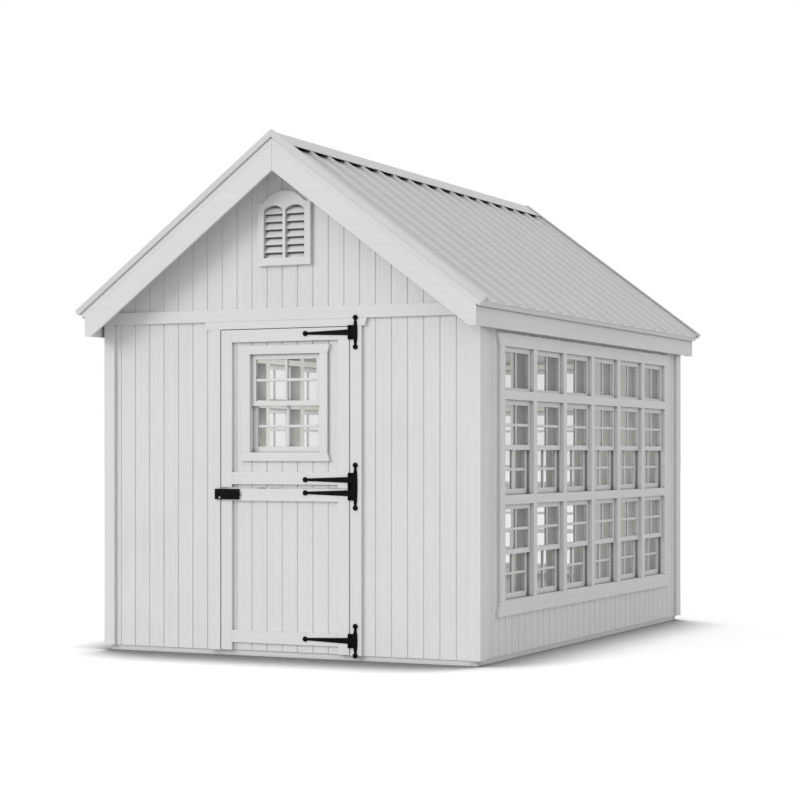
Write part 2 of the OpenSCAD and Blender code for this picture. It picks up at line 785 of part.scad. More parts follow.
// Knuckles above and below each strap, joined to the plate, and the pin
module fixed_hinge(z_low, z_high, straps) {
  half = strap_root / 2 + knuckle_play;
  at_hinge(0) {
    plate_bar(z_low, z_high);
    translate([0, 0, z_low]) cylinder(r = pin_r, h = z_high - z_low, $fn = 32);
    difference() {
      union() {
        translate([0, 0, z_low]) cylinder(r = knuckle_r, h = z_high - z_low, $fn = 48);
        span([0, hinge_out - iron_t, z_low], [plate_out, hinge_out, z_high]);
      }
      for (z = straps)
        translate([0, 0, z - half]) difference() {
          span([-2 * knuckle_r, -2 * knuckle_r, 0],
               [knuckle_r + knuckle_play, 2 * knuckle_r, 2 * half]);
          translate([0, 0, -cut_past])
            cylinder(r = pin_r, h = 2 * (half + cut_past), $fn = 32);
        }
    }
  }
}
module hinge_plates() color(black) {
  z = strap_zs;
  reach = strap_root / 2 + knuckle_play + knuckle_h;
  fixed_hinge(z[0] - reach, z[0] + reach, [z[0]]);
  fixed_hinge(z[1] - reach, z[2] + reach, [z[1], z[2]]);
  fixed_hinge(z[3] - reach, z[3] + reach, [z[3]]);
}

module strap(z) {
  at_hinge(z) difference() {
    union() {
      translate([0, 0, -strap_root / 2]) cylinder(r = knuckle_r, h = strap_root, $fn = 48);
      translate([0, hinge_out, 0]) rotate([90, 0, 0]) linear_extrude(iron_t) {
        polygon([[0, -strap_root / 2], [0, strap_root / 2],
                 [-strap_l, strap_tip / 2], [-strap_l, -strap_tip / 2]]);
        translate([-strap_l, 0]) circle(r = ball_r, $fn = 32);
      }
    }
    translate([0, 0, -strap_root])
      cylinder(r = pin_r + pin_fit, h = 2 * strap_root, $fn = 48);
  }
}
module upper_door_straps() color(black) {
  strap(strap_zs[2]);
  strap(strap_zs[3]);
}
module lower_door_straps() color(black) {
  strap(strap_zs[0]);
  strap(strap_zs[1]);
}

// Bar latch on the lower leaf: its bar passes before the keeper with air between
module door_latch() color(black) on_front()
  translate([leaf_x0, trim_v, latch_z]) difference() {
    union() {
      span([latch_in, -iron_t, -latch_h / 2], [latch_w, 0, latch_h / 2]);
      span([latch_in, -latch_t, -latch_h / 4], [latch_w, -iron_t, latch_h / 4]);
      span([-latch_reach, -latch_t, -latch_h / 2], [latch_w, -latch_t + iron_t, latch_h / 2]);
      translate([latch_w, -latch_t + iron_t, 0]) rotate([90, 0, 0])
        cylinder(r = latch_knob_r, h = iron_t, $fn = 32);
    }
    translate([-latch_hole_x, 0, -latch_h / 3]) rotate([90, 0, 0])
      cylinder(r = latch_knob_r / 3, h = 2 * latch_t, $fn = 24);
  }
module latch_keeper() color(black) on_front()
  span([leaf_x0 - latch_reach, trim_v - keeper_t, latch_z - latch_h / 2],
       [leaf_x0 - latch_reach + keeper_w, trim_v, latch_z + latch_h / 2]);

floor_frame();
floor_deck();
front_wall();
front_gable();
right_wall();
left_wall();
back_wall();
back_gable();
wall_framing();
window_framing();
right_window_casing();
left_window_casing();
back_window_casing();
right_sashes();
left_sashes();
back_sashes();
right_glass();
left_glass();
back_glass();
corner_boards();
band_boards();
roof_frame();
roof_deck();
roof_panels();
ridge_cap();
rake_edge_trims();
rake_boards();
fascia_boards();
gable_vent_frames();
gable_vent_louvres();
door_casing();
upper_door_panel();
upper_door_frame();
upper_door_trim();
upper_door_sashes();
upper_door_glass();
lower_door_panel();
lower_door_frame();
lower_door_trim();
hinge_plates();
upper_door_straps();
lower_door_straps();
door_latch();
latch_keeper();
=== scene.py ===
from math import atan, cos, radians, sin

import bmesh
import bpy
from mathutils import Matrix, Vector


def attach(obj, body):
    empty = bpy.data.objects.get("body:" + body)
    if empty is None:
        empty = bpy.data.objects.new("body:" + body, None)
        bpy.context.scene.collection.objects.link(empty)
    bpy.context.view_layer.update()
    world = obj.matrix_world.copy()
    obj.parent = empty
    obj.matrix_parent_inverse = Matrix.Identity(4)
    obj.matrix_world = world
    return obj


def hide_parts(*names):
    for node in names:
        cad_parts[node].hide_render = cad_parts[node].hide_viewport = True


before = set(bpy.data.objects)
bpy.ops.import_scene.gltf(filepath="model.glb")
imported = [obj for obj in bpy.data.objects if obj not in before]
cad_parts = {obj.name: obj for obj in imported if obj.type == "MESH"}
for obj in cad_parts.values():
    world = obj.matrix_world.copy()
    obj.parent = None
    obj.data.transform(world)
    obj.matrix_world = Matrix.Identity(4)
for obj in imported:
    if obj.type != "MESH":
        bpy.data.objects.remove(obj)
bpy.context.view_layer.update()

# Sizes of the house, in metres, as the solids have them
HALF_W = 1.219
HALF_D = 1.829
SIDING_T = 0.0127
TRIM_T = 0.019
END_Y = HALF_D + SIDING_T
SIDE_X = HALF_W + SIDING_T
TRIM_END_Y = END_Y + TRIM_T
TRIM_SIDE_X = SIDE_X + TRIM_T
ROOF_SLOPE = atan(9 / 12)
APEX_Z = 3.001
EAVE_OUT = 0.071
SHEET_OUT = 0.016
EAVE_RUN = (HALF_W + EAVE_OUT + SHEET_OUT) / cos(ROOF_SLOPE)
FIT_GAP = 0.0003

# How far the edges of each kind of piece are eased
TRIM_EASE = 0.0008
SIDING_EASE = 0.0009
SASH_EASE = 0.0015
FRAMING_EASE = 0.0015
BASE_EASE = 0.002
RAKE_EASE = 0.0015
BLADE_EASE = 0.0012
IRON_EASE = 0.0010
KEEPER_EASE = 0.0006
WASHER_EASE = 0.0005

# Siding grooves: width, depth, distance from one to the next, the first one and the count
GROOVE_W = 0.0085
GROOVE_DEEP = 0.005
BOARD_W = 0.1016
END_FIRST, END_COUNT = -1.1392, 23
SIDE_FIRST, SIDE_COUNT = -1.7492, 35
CUTTER_OUT = 0.01
CUTTER_FOOT_Z = -0.1
CUTTER_HEAD_Z = 3.2

# Windows
WINDOW_W = 0.450
BANK_PITCH = 0.5056
SILL_Z = 0.350
ROW_STEP = 0.610
TRANSOM_Z = 1.570
TRANSOM_H = 0.254
TRANSOM_FOOT_H = 0.016
WINDOW_H = 0.556
SASH_W = 0.030
SASH_FOOT_H = 0.034
SASH_T = 0.020
SASH_RECESS = 0.023
SASH_STEP = 0.023
OUTER_SASH_Y = -TRIM_END_Y + SASH_RECESS
GLASS_T = 0.003
BAR_W = 0.017
BAR_D = 0.0072
BAR_INSET = 0.0045
BAR_CHAMFER = 0.003
BAR_STEP = 0.0004
SAME_PLACE = 1e-6
FACING = 0.9
BANK_COLUMNS = 6
BACK_COLUMNS = 2
DOOR_WINDOW_X = -0.2315
DOOR_WINDOW_W = 0.463
DOOR_WINDOW_FOOT_Z = 1.2085
DOOR_WINDOW_H = 0.5795

# Gable vents
VENT_Z = 2.308
VENT_FRAME_T = 0.024
VENT_FOOT_Z = VENT_Z + 0.044
VENT_OPEN_W = 0.126
VENT_BAR_W = 0.018
LOUVRE_PITCH = 0.0455
LOUVRE_COUNT = 7
LOUVRE_W = 0.042
LOUVRE_T = 0.006
LOUVRE_TILT = 58
LOUVRE_INSET = 0.012
LOUVRE_PHASE = 0.12
LOUVRE_GAP = 0.0004
VENT_ARCH_Z = VENT_Z + 0.268
ARCH_R = 0.087
ARCH_CUTS = 13
ARCH_SPREAD = 45
SCREEN_T = 0.0008
SCREEN_LAP = 0.006

# Roof screws, measured down the slope and across it
RIB_PITCH = 0.2286
SHEET_TOP = 0.0353
WASHER_R = 0.0075
WASHER_T = 0.0016
HEAD_INSET = 0.0028
HEAD_H = 0.0036
SCREW_FIRST_S = 0.16
SCREW_LAST_IN = 0.06
SCREW_ROWS = 4
SCREW_COLUMNS = 16
SCREW_Y = -7.5 * RIB_PITCH

# Ironwork
HINGE_X = 0.4293
STRAP_L = 0.289
STRAP_ZS = (0.118, 0.972, 1.049, 1.903)
IRON_T = 0.004
IRON_FACE_Y = -TRIM_END_Y - IRON_T
PLATE_OUT = 0.0377
STRAP_SCREWS = (0.055, 0.115, 0.175, 0.235)
STRAP_SCREW_R = 0.0048
PLATE_SCREW_R = 0.005
PLATE_SCREW_Z = 0.022
SHARED_SCREW_Z = 0.0385
FINIAL_R = 0.0155
FINIAL_OUT = 0.085
SPINDLE_W = 0.027
LATCH_FACE_Y = -1.8737
LATCH_PIN_X = -0.4298
LATCH_PIN_Z = 0.9403
LATCH_PIN_R = 0.0058
LATCH_PIN_OUT = 0.0006
BOSS_FLATNESS = 0.6
SCREW_FLATNESS = 0.55
SCREW_SINK = 0.0002
SLOT_HALF_W = 0.13
SLOT_FLOOR = 0.30

# Studio
FLOOR_SIZE = 240
FLOOR_SHADE = ((0.30, 0.14), (0.48, 0.19), (0.59, 0.29), (0.69, 0.64), (0.82, 1.0))
FLOOR_SHADE_REACH = 0.85
FLOOR_SHADE_LEAN = {"Y": 0.30, "Z": 0.954}
FLOOR_LIFT = 0.34
FLOOR_BOUNCE = (0.62, 0.62, 0.62, 1)
WHITE = (1, 1, 1, 1)
SURROUND_STRENGTH = 0.72
KEY_TOWARDS = (-0.56, -0.74, 0.38)
KEY_ENERGY = 1.02
KEY_SOFTNESS = 32
KEY_AWAY = 8
FILL_ENERGY = 36
FILL_SIZE = 0.5
FILL_Z = 1.35

# Camera, as solved from the edges of the photograph
LENS = 92.66
SENSOR_W = 36
LENS_SHIFT_UP = 0.0678
CAMERA_AT = (5.7555, -12.515, 1.1977)
CAMERA_TURN = 25.158
CAMERA_SEES_TO = 500


# Tools of the bench

def deselect_all():
    if bpy.context.object and bpy.context.object.mode != "OBJECT":
        bpy.ops.object.mode_set(mode="OBJECT")
    bpy.ops.object.select_all(action="DESELECT")


def take_up(piece):
    deselect_all()
    piece.select_set(True)
    bpy.context.view_layer.objects.active = piece


def apply_place(piece):
    take_up(piece)
    bpy.ops.object.transform_apply(location=True, rotation=True, scale=True)


def join_into(first, others, name):
    deselect_all()
    for other in others:
        other.select_set(True)
    first.select_set(True)
    bpy.context.view_layer.objects.active = first
    if others:
        bpy.ops.object.join()
    first.name = name
    return first


def new_block(name, low, high):
    """A box between two corners, as the start of a piece."""
    deselect_all()
    low, high = Vector(low), Vector(high)
    bpy.ops.mesh.primitive_cube_add(size=1, location=(low + high) / 2)
    block = bpy.context.object
    block.name = name
    block.scale = high - low
    apply_place(block)
    return block


def select_faces(piece, test):
    """Leaves the piece in edit mode with the faces selected that pass the test."""
    take_up(piece)
    bpy.ops.object.mode_set(mode="EDIT")
    bpy.ops.mesh.select_mode(type="FACE")
    bpy.ops.mesh.select_all(action="DESELECT")
    shape = bmesh.from_edit_mesh(piece.data)
    for face in shape.faces:
        face.select_set(test(face))
    bmesh.update_edit_mesh(piece.data)


def turn_normals_out(piece):
    select_faces(piece, lambda face: True)
    bpy.ops.mesh.normals_make_consistent(inside=False)
    bpy.ops.object.mode_set(mode="OBJECT")


def copy_to(piece, offset):
    twin = piece.copy()
    twin.data = piece.data.copy()
    bpy.context.scene.collection.objects.link(twin)
    twin.location = offset
    apply_place(twin)
    return twin


def mirrored_copy(piece, axis):
    """A copy on the other side of the house, with its faces still pointing outwards."""
    twin = copy_to(piece, (0, 0, 0))
    twin.scale["xyz".index(axis)] = -1
    apply_place(twin)
    turn_normals_out(twin)
    return twin


def repeat(piece, count, step):
    take_up(piece)
    row = piece.modifiers.new("row", "ARRAY")
    row.count = count
    row.use_relative_offset = False
    row.use_constant_offset = True
    row.constant_offset_displace = step
    bpy.ops.object.modifier_apply(modifier=row.name)


def cut_away(piece, cutter):
    take_up(piece)
    cut = piece.modifiers.new("cut", "BOOLEAN")
    cut.operation = "DIFFERENCE"
    cut.solver = "EXACT"
    cut.object = cutter
    bpy.ops.object.modifier_apply(modifier=cut.name)


def ease_edges(piece, width, segments=2, angle=35):
    """Rounds the sharp edges by a small radius, as planing and paint leave them."""
    take_up(piece)
    ease = piece.modifiers.new("eased", "BEVEL")
    ease.width = width
    ease.segments = segments
    ease.limit_method = "ANGLE"
    ease.angle_limit = radians(angle)
    ease.use_clamp_overlap = True
    bpy.ops.object.modifier_apply(modifier=ease.name)


def smooth_by_angle(piece, angle=40):
    """Smooth shading across the eased edges, with the broad faces kept flat."""
    take_up(piece)
    bpy.ops.object.shade_smooth_by_angle(angle=radians(angle))
    flat = piece.modifiers.new("flat_faces", "WEIGHTED_NORMAL")
    flat.keep_sharp = True
    bpy.ops.object.modifier_apply(modifier=flat.name)


def dressed_copy(node, name):
    """A copy of a node's mesh with its triangles merged into whole faces."""
    piece = bpy.data.objects.new(name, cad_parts[node].data.copy())
    bpy.context.scene.collection.objects.link(piece)
    piece.data.materials.clear()
    take_up(piece)
    bpy.ops.object.mode_set(mode="EDIT")
    bpy.ops.mesh.select_all(action="SELECT")
    bpy.ops.mesh.remove_doubles(threshold=0.000002)
    bpy.ops.mesh.dissolve_limited(angle_limit=radians(0.5))
    bpy.ops.object.mode_set(mode="OBJECT")
    return piece


def hand_over(piece, body, slot, *nodes):
    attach(piece, body)
    if nodes:
        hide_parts(*nodes)


# Finishes

def add_node(tree, kind, sockets=None, **settings):
    node = tree.nodes.new("ShaderNode" + kind)
    for key, value in settings.items():
        setattr(node, key, value)
    for key, value in (sockets or {}).items():
        node.inputs[key].default_value = value
    return node


def bare_finish(name):
    finish = bpy.data.materials.new(name)
    finish.use_nodes = True
    tree = finish.node_tree
    tree.nodes.clear()
    return finish, tree, add_node(tree, "OutputMaterial")


def new_finish(name):
    finish, tree, out = bare_finish(name)
    shader = add_node(tree, "BsdfPrincipled")
    tree.links.new(shader.outputs["BSDF"], out.inputs["Surface"])
    return finish, tree, shader


def object_space(tree, scale, turn=(0, 0, 0)):
    place = add_node(tree, "TexCoord")
    mapping = add_node(tree, "Mapping")
    mapping.inputs["Rotation"].default_value = turn
    mapping.inputs["Scale"].default_value = scale
    tree.links.new(place.outputs["Object"], mapping.inputs["Vector"])
    return mapping.outputs["Vector"]


def noise(tree, vector, scale, detail=4, roughness=0.55, distortion=0.0):
    node = add_node(tree, "TexNoise", {"Scale": scale, "Detail": detail,
                                       "Roughness": roughness, "Distortion": distortion})
    tree.links.new(vector, node.inputs["Vector"])
    return node.outputs["Fac"]


def ramp(tree, fac, stops):
    node = add_node(tree, "ValToRGB")
    steps = node.color_ramp.elements
    while len(steps) < len(stops):
        steps.new(0.5)
    for step, (at, colour) in zip(steps, stops):
        step.position = at
        step.color = (*colour, 1)
    tree.links.new(fac, node.inputs["Fac"])
    return node.outputs["Color"]


def spread(tree, fac, low, high, start=0.3, end=0.7):
    node = add_node(tree, "MapRange", {"From Min": start, "From Max": end,
                                       "To Min": low, "To Max": high})
    tree.links.new(fac, node.inputs["Value"])
    return node.outputs["Result"]


def relief(tree, shader, height, strength, distance, under=None):
    node = add_node(tree, "Bump", {"Strength": strength, "Distance": distance})
    tree.links.new(height, node.inputs["Height"])
    if under is not None:
        tree.links.new(under, node.inputs["Normal"])
    tree.links.new(node.outputs["Normal"], shader.inputs["Normal"])
    return node.outputs["Normal"]


def tint(colour, factor):
    return tuple(channel * factor for channel in colour)


def greys(stops):
    return [(at, (grey, grey, grey)) for at, grey in stops]


def painted_joint_shade(tree, colour, reach, stops):
    """Painted shade: the colour darkened in corners, joints and under edges by ambient
    occlusion multiplied into it.
    """
    near = add_node(tree, "AmbientOcclusion", {"Distance": reach}, samples=5)
    shade = ramp(tree, near.outputs["AO"], greys(stops))
    product = add_node(tree, "Mix", data_type="RGBA", blend_type="MULTIPLY")
    product.inputs[0].default_value = 1.0
    tree.links.new(colour, product.inputs[6])
    tree.links.new(shade, product.inputs[7])
    return product.outputs[2]


GRAIN_ACROSS = {"x": (0.018, 1, 1), "y": (1, 0.018, 1), "z": (1, 1, 0.018)}
EVENLY = (1, 1, 1)
PAINT_WHITE = (0.80, 0.80, 0.795)
ROOF_WHITE = (0.685, 0.685, 0.672)
WASHED_TIMBER = (0.74, 0.72, 0.68)
FLOOR_BOARDS = (0.60, 0.575, 0.53)
# Stops of painted shade, from occlusion to grey: for the trim paint, the room's framing and the
# roof metal
CORNER_PAINTED_SHADE = ((0.12, 0.22), (0.42, 0.66), (0.62, 0.93), (0.76, 1.0))
ROOM_PAINTED_SHADE = ((0.15, 0.15), (0.50, 0.45), (0.75, 0.88), (0.90, 1.0))
ROOF_PAINTED_SHADE = ((0.20, 0.04), (0.42, 0.45), (0.62, 0.95), (0.76, 1.0))
CORNER_REACH = 0.035
ROOM_REACH = 0.30
ROOF_REACH = 0.06


def painted_timber(name, along, turn=0.0):
    """Brushed satin paint over timber whose grain runs along one axis, or at a turn to it."""
    finish, tree, shader = new_finish(name)
    turned = (0, turn, 0)
    fibres = noise(tree, object_space(tree, GRAIN_ACROSS[along], turned), 420, 3, 0.6)
    figure = noise(tree, object_space(tree, GRAIN_ACROSS[along], turned), 46, 4, 0.6, 0.4)
    clouds = noise(tree, object_space(tree, EVENLY), 1.7, 3, 0.5)
    blend = add_node(tree, "Mix", data_type="FLOAT")
    blend.inputs[0].default_value = 0.45
    tree.links.new(figure, blend.inputs[2])
    tree.links.new(clouds, blend.inputs[3])
    shade = ramp(tree, blend.outputs[0], [(0.30, tint(PAINT_WHITE, 0.955)), (0.52, PAINT_WHITE),
                                          (0.72, tint(PAINT_WHITE, 1.025))])
    # Painted shade: darker in the joints and corners of the boards and under their edges
    shade = painted_joint_shade(tree, shade, CORNER_REACH, CORNER_PAINTED_SHADE)
    tree.links.new(shade, shader.inputs["Base Color"])
    tree.links.new(spread(tree, fibres, 0.50, 0.62), shader.inputs["Roughness"])
    shader.inputs["Specular IOR Level"].default_value = 0.35
    under = relief(tree, shader, figure, 0.22, 0.0007)
    relief(tree, shader, fibres, 0.30, 0.0004, under)
    return finish


def resawn_siding(name):
    """Siding under paint: fine upright saw marks between the grooves."""
    finish, tree, shader = new_finish(name)
    saw = noise(tree, object_space(tree, (1, 1, 0.006)), 170, 3, 0.6)
    grain = noise(tree, object_space(tree, (1, 1, 0.03)), 60, 4, 0.6, 0.3)
    clouds = noise(tree, object_space(tree, EVENLY), 2.1, 3, 0.5)
    blend = add_node(tree, "Mix", data_type="FLOAT")
    blend.inputs[0].default_value = 0.3
    tree.links.new(saw, blend.inputs[2])
    tree.links.new(clouds, blend.inputs[3])
    shade = ramp(tree, blend.outputs[0], [(0.30, tint(PAINT_WHITE, 0.90)), (0.50, PAINT_WHITE),
                                          (0.70, tint(PAINT_WHITE, 1.045))])
    tree.links.new(shade, shader.inputs["Base Color"])
    tree.links.new(spread(tree, grain, 0.52, 0.66), shader.inputs["Roughness"])
    shader.inputs["Specular IOR Level"].default_value = 0.3
    under = relief(tree, shader, grain, 0.20, 0.0008)
    relief(tree, shader, saw, 0.45, 0.0010, under)
    return finish


def interior_timber(name, along, colour):
    """Planed timber inside, in a pale wash that leaves the figure showing."""
    finish, tree, shader = new_finish(name)
    fibres = noise(tree, object_space(tree, GRAIN_ACROSS[along]), 260, 4, 0.6)
    figure = noise(tree, object_space(tree, GRAIN_ACROSS[along]), 24, 5, 0.65, 1.2)
    shade = ramp(tree, figure, [(0.32, tint(colour, 0.86)), (0.50, colour),
                                (0.70, tint(colour, 1.06))])
    # Painted shade: darker towards the corners and recesses of the room, out to 30 cm
    shade = painted_joint_shade(tree, shade, ROOM_REACH, ROOM_PAINTED_SHADE)
    tree.links.new(shade, shader.inputs["Base Color"])
    tree.links.new(spread(tree, fibres, 0.60, 0.75), shader.inputs["Roughness"])
    shader.inputs["Specular IOR Level"].default_value = 0.25
    relief(tree, shader, fibres, 0.3, 0.0006)
    return finish


def coated_roof_metal(name):
    """Satin coated sheet with the faint waviness and run marks of a weathered roof."""
    finish, tree, shader = new_finish(name)
    runs = noise(tree, object_space(tree, (0.10, 1, 0.10)), 22, 5, 0.6, 0.3)
    peel = noise(tree, object_space(tree, EVENLY), 900, 2, 0.5)
    waves = noise(tree, object_space(tree, (0.6, 1, 0.6)), 5, 2, 0.5)
    shade = ramp(tree, runs, [(0.30, tint(ROOF_WHITE, 0.945)), (0.52, ROOF_WHITE),
                              (0.74, tint(ROOF_WHITE, 1.03))])
    # Painted shade: close to black under the ridge cap and in the folds of the sheet
    shade = painted_joint_shade(tree, shade, ROOF_REACH, ROOF_PAINTED_SHADE)
    tree.links.new(shade, shader.inputs["Base Color"])
    tree.links.new(spread(tree, runs, 0.36, 0.50), shader.inputs["Roughness"])
    shader.inputs["Specular IOR Level"].default_value = 0.45
    under = relief(tree, shader, waves, 0.25, 0.003)
    relief(tree, shader, peel, 0.08, 0.0002, under)
    return finish


def black_ironwork(name):
    """Powder-coated iron: a fine orange-peel and patches here and there rubbed a little
    brighter.
    """
    finish, tree, shader = new_finish(name)
    peel = noise(tree, object_space(tree, EVENLY), 700, 3, 0.55)
    rub = noise(tree, object_space(tree, EVENLY), 38, 4, 0.6)
    shade = ramp(tree, rub, [(0.35, (0.0022, 0.0022, 0.0023)), (0.55, (0.0034, 0.0034, 0.0035)),
                             (0.75, (0.0070, 0.0070, 0.0070))])
    tree.links.new(shade, shader.inputs["Base Color"])
    tree.links.new(spread(tree, rub, 0.44, 0.60), shader.inputs["Roughness"])
    shader.inputs["Specular IOR Level"].default_value = 0.06
    relief(tree, shader, peel, 0.22, 0.0003)
    return finish


def zinc_screw_metal(name):
    finish, tree, shader = new_finish(name)
    dull = noise(tree, object_space(tree, EVENLY), 320, 3, 0.6)
    shade = ramp(tree, dull, [(0.3, (0.56, 0.56, 0.55)), (0.7, (0.68, 0.68, 0.67))])
    tree.links.new(shade, shader.inputs["Base Color"])
    tree.links.new(spread(tree, dull, 0.38, 0.55), shader.inputs["Roughness"])
    shader.inputs["Metallic"].default_value = 0.35
    return finish


def painted_shade_screen_cloth(name):
    """Insect mesh, its threads too fine to see one by one, in a dark charcoal that paints the
    shade seen between the vent blades.
    """
    finish, tree, shader = new_finish(name)
    weave = noise(tree, object_space(tree, EVENLY), 480, 2, 0.5)
    shade = ramp(tree, weave, [(0.35, (0.20, 0.20, 0.198)), (0.65, (0.28, 0.28, 0.277))])
    tree.links.new(shade, shader.inputs["Base Color"])
    tree.links.new(spread(tree, weave, 0.70, 0.85), shader.inputs["Roughness"])
    shader.inputs["Specular IOR Level"].default_value = 0.1
    return finish


def window_glass(name):
    """Clear float glass: slight waviness, a faint film of dust."""
    finish, tree, shader = new_finish(name)
    film = noise(tree, object_space(tree, EVENLY), 7, 4, 0.6)
    waves = noise(tree, object_space(tree, (1, 1, 0.35)), 4, 1, 0.4)
    shade = ramp(tree, film, [(0.35, (0.66, 0.68, 0.68)), (0.7, (0.74, 0.76, 0.755))])
    tree.links.new(shade, shader.inputs["Base Color"])
    tree.links.new(spread(tree, film, 0.02, 0.06), shader.inputs["Roughness"])
    shader.inputs["Alpha"].default_value = 0.15
    shader.inputs["IOR"].default_value = 1.45
    shader.inputs["Specular IOR Level"].default_value = 0.3
    relief(tree, shader, waves, 0.05, 0.004)
    return finish


PAINT = {axis: painted_timber("satin_white_paint_grain_" + axis, axis) for axis in "xyz"}
RAKE_PAINT = {side: painted_timber("satin_white_paint_rake_" + side, "x",
                                   turn=ROOF_SLOPE * (-1 if side == "right" else 1))
              for side in ("left", "right")}
SIDING_PAINT = resawn_siding("resawn_siding_white_paint")
INNER = {axis: interior_timber("washed_framing_grain_" + axis, axis, WASHED_TIMBER)
         for axis in "xyz"}
FLOOR_TIMBER = interior_timber("planed_floor_boards", "y", FLOOR_BOARDS)
ROOF_METAL = coated_roof_metal("coated_white_roof_metal")
IRON = black_ironwork("powder_coated_black_iron")
SCREW_METAL = zinc_screw_metal("painted_screw_heads")
PAINTED_SHADE_SCREEN = painted_shade_screen_cloth("painted_shade_vent_screen")
GLASS = window_glass("clear_window_glass")


def board_direction(points):
    low = [min(p[i] for p in points) for i in range(3)]
    high = [max(p[i] for p in points) for i in range(3)]
    spans = [b - a for a, b in zip(low, high)]
    return "xyz"[spans.index(max(spans))]


def boards_of(piece):
    """The loose boards of a piece, each as its list of faces."""
    mesh = piece.data
    parent = list(range(len(mesh.vertices)))

    def root(i):
        while parent[i] != i:
            parent[i] = parent[parent[i]]
            i = parent[i]
        return i

    for edge in mesh.edges:
        a, b = (root(v) for v in edge.vertices)
        parent[a] = b
    boards = {}
    for face in mesh.polygons:
        boards.setdefault(root(face.vertices[0]), []).append(face)
    return list(boards.values())


def paint_by_board(piece, paints):
    """Gives each board the paint whose grain runs along it."""
    order = list("xyz")
    for axis in order:
        piece.data.materials.append(paints[axis])
    for faces in boards_of(piece):
        points = [piece.data.vertices[v].co for face in faces for v in face.vertices]
        slot = order.index(board_direction(points))
        for face in faces:
            face.material_index = slot


def dress_boards(node, body, paints, ease=TRIM_EASE, slot="painted_timber"):
    piece = dressed_copy(node, node + "_eased")
    ease_edges(piece, ease)
    smooth_by_angle(piece)
    paint_by_board(piece, paints)
    hand_over(piece, body, slot, node)


# Siding: grooves cut into the outer face

def groove_cutter(on_end, first, count):
    """A row of upright bars that reach into the siding from its outer face."""
    before, after = first - GROOVE_W / 2, first + GROOVE_W / 2
    if on_end:
        low = (before, -END_Y - CUTTER_OUT, CUTTER_FOOT_Z)
        high = (after, -END_Y + GROOVE_DEEP, CUTTER_HEAD_Z)
        step = (BOARD_W, 0, 0)
    else:
        low = (SIDE_X - GROOVE_DEEP, before, CUTTER_FOOT_Z)
        high = (SIDE_X + CUTTER_OUT, after, CUTTER_HEAD_Z)
        step = (0, BOARD_W, 0)
    bar = new_block("groove_cutter", low, high)
    repeat(bar, count, step)
    return bar


front_cutter = groove_cutter(True, END_FIRST, END_COUNT)
back_cutter = mirrored_copy(front_cutter, "y")
right_cutter = groove_cutter(False, SIDE_FIRST, SIDE_COUNT)
left_cutter = mirrored_copy(right_cutter, "x")

for node, body, cutter in (
        ("front_wall", "house", front_cutter), ("front_gable", "house", front_cutter),
        ("back_wall", "house", back_cutter), ("back_gable", "house", back_cutter),
        ("right_wall", "house", right_cutter), ("left_wall", "house", left_cutter),
        ("lower_door_panel", "lower_leaf", front_cutter),
        ("upper_door_panel", "upper_leaf", front_cutter)):
    siding = dressed_copy(node, node + "_grooved")
    cut_away(siding, cutter)
    ease_edges(siding, SIDING_EASE, 1)
    smooth_by_angle(siding, 30)
    siding.data.materials.append(SIDING_PAINT)
    hand_over(siding, body, "painted_timber", node)

for cutter in (front_cutter, back_cutter, right_cutter, left_cutter):
    bpy.data.objects.remove(cutter, do_unlink=True)

# Trim boards and door boards, with eased edges and the grain along each board

for node in ("right_window_casing", "left_window_casing", "back_window_casing",
             "corner_boards", "band_boards", "fascia_boards", "door_casing"):
    dress_boards(node, "house", PAINT)
for node in ("upper_door_frame", "upper_door_trim"):
    dress_boards(node, "upper_leaf", PAINT)
for node in ("lower_door_frame", "lower_door_trim"):
    dress_boards(node, "lower_leaf", PAINT)
for node in ("right_sashes", "left_sashes", "back_sashes"):
    dress_boards(node, "house", PAINT, SASH_EASE)
dress_boards("upper_door_sashes", "upper_leaf", PAINT, SASH_EASE)
dress_boards("gable_vent_frames", "house", PAINT)
for node in ("wall_framing", "window_framing", "roof_frame"):
    dress_boards(node, "house", INNER, FRAMING_EASE, "bare_timber")
dress_boards("floor_frame", "house", PAINT, BASE_EASE)

# Rake boards slope, so each side has a paint of its own with the grain turned to the slope

rakes = dressed_copy("rake_boards", "rake_boards_eased")
ease_edges(rakes, RAKE_EASE)
smooth_by_angle(rakes)
rakes.data.materials.append(RAKE_PAINT["left"])
rakes.data.materials.append(RAKE_PAINT["right"])
for faces in boards_of(rakes):
    mid = sum(face.center.x for face in faces) / len(faces)
    for face in faces:
        face.material_index = 1 if mid > 0 else 0
hand_over(rakes, "house", "painted_timber", "rake_boards")

# Gable vents: seven tilted blades behind each half, with an insect mesh behind them whose dark
# colour paints the shade between the blades


def trim_to_opening(blades):
    """Cuts the blades off below the opening's foot, at its sides and outside its arch."""
    middle = VENT_BAR_W / 2 + VENT_OPEN_W / 2
    half = VENT_OPEN_W / 2 - LOUVRE_GAP
    arch_r = ARCH_R - LOUVRE_GAP
    take_up(blades)
    bpy.ops.object.mode_set(mode="EDIT")
    cuts = [((middle, 0, VENT_FOOT_Z + LOUVRE_GAP), (0, 0, -1)),
            ((middle - half, 0, 0), (-1, 0, 0)), ((middle + half, 0, 0), (1, 0, 0))]
    for step in range(ARCH_CUTS):
        turn = radians(-ARCH_SPREAD + 2 * ARCH_SPREAD * step / (ARCH_CUTS - 1))
        outward = (sin(turn), 0, cos(turn))
        at = (middle + arch_r * outward[0], 0, VENT_ARCH_Z + arch_r * outward[2])
        cuts.append((at, outward))
    for at, outward in cuts:
        bpy.ops.mesh.select_all(action="SELECT")
        bpy.ops.mesh.bisect(plane_co=at, plane_no=outward, use_fill=True, clear_outer=True)
    bpy.ops.object.mode_set(mode="OBJECT")


